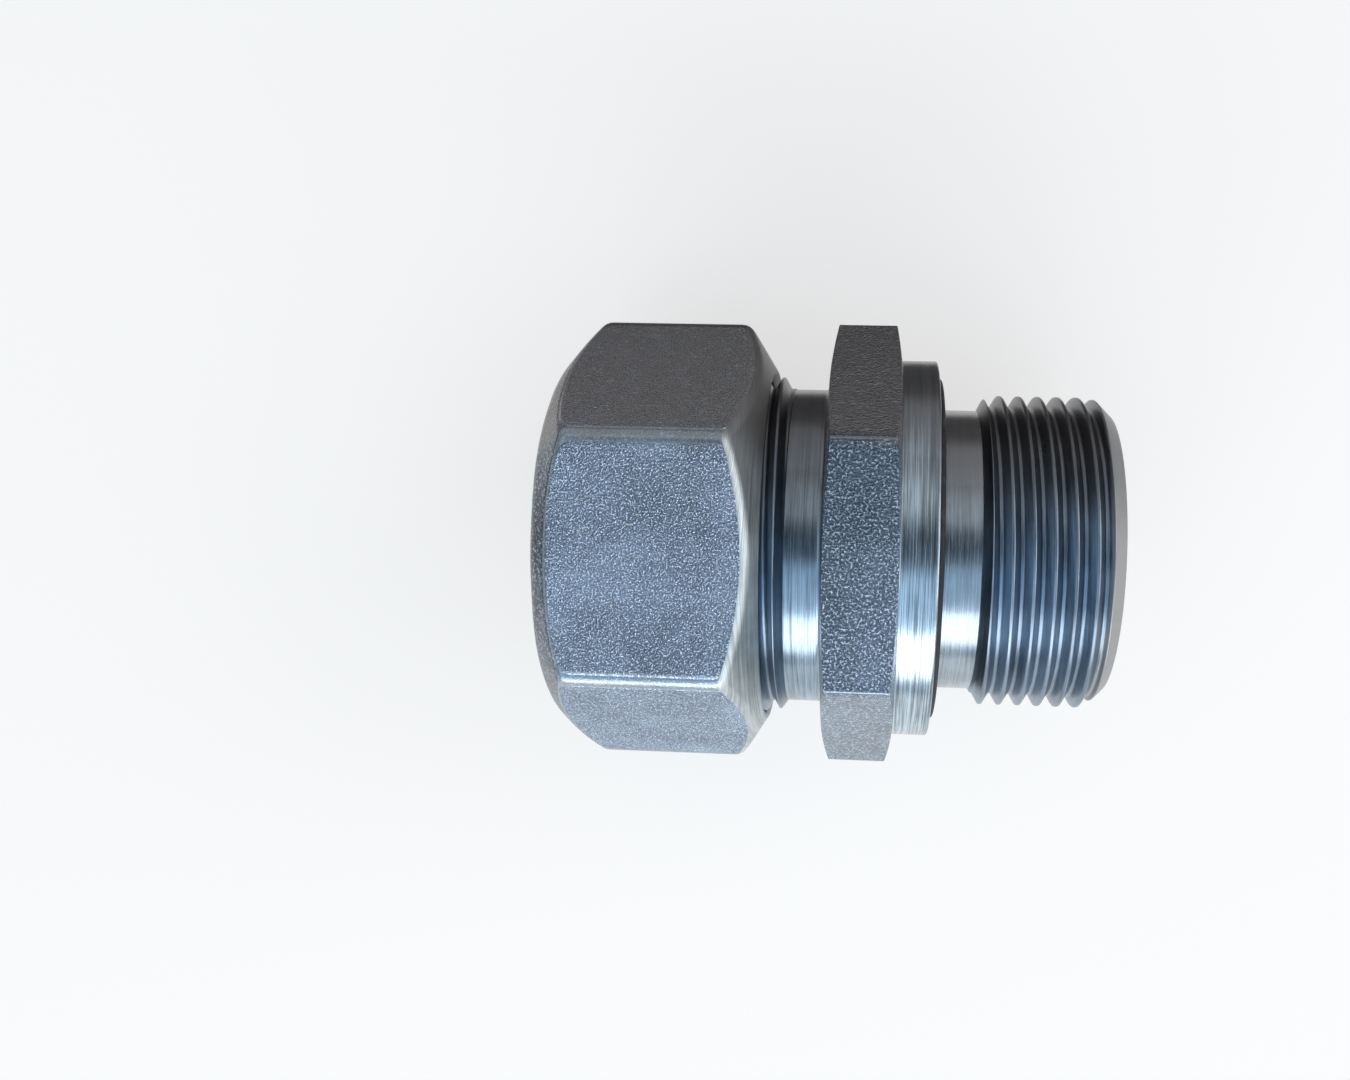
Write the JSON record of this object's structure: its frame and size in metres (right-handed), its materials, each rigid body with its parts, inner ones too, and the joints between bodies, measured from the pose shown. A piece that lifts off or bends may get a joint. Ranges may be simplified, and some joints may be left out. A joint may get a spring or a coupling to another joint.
{
  "type": "hydraulic tube coupling",
  "caption": "Straight stud coupling with a union nut, an inner cutting ring, a hexagon body and an elastomer face seal on its collar",
  "frame": {"origin": "centre of the collar's sealing face, on the tube's axis", "axes": "+X out of the stud along the axis, +Z out of a flat of both hexagons, +Y across their corners"},
  "size_m": [0.0569, 0.0474, 0.041],
  "materials": {
    "zinc_steel_body": "bright zinc plate over turned steel, bluish",
    "zinc_steel_nut": "bright zinc plate over forged and blasted steel, bluish",
    "ring_steel": "hardened and phosphated steel",
    "seal_rubber": "black elastomer"
  },
  "bodies": {
    "stud": {"stud_body": "zinc_steel_body", "face_seal_ring": "seal_rubber"},
    "ring": {"cutting_ring": "ring_steel"},
    "nut": {"union_nut": "zinc_steel_nut"}
  },
  "joints": [
    {"name": "nut_advance", "type": "slide", "parent": "stud", "child": "ring", "axis": [-1, 0, 0], "range_m": [0, 0.011]},
    {"name": "nut_turn", "type": "hinge", "parent": "ring", "child": "nut", "pos_m": [-0.0284, 0, 0], "axis": [-1, 0, 0], "range_deg": [0, 1980]}
  ],
  "couplings": [
    {"joint": "nut_advance", "follows": "nut_turn", "m_per_rad": 0.00031831}
  ]
}
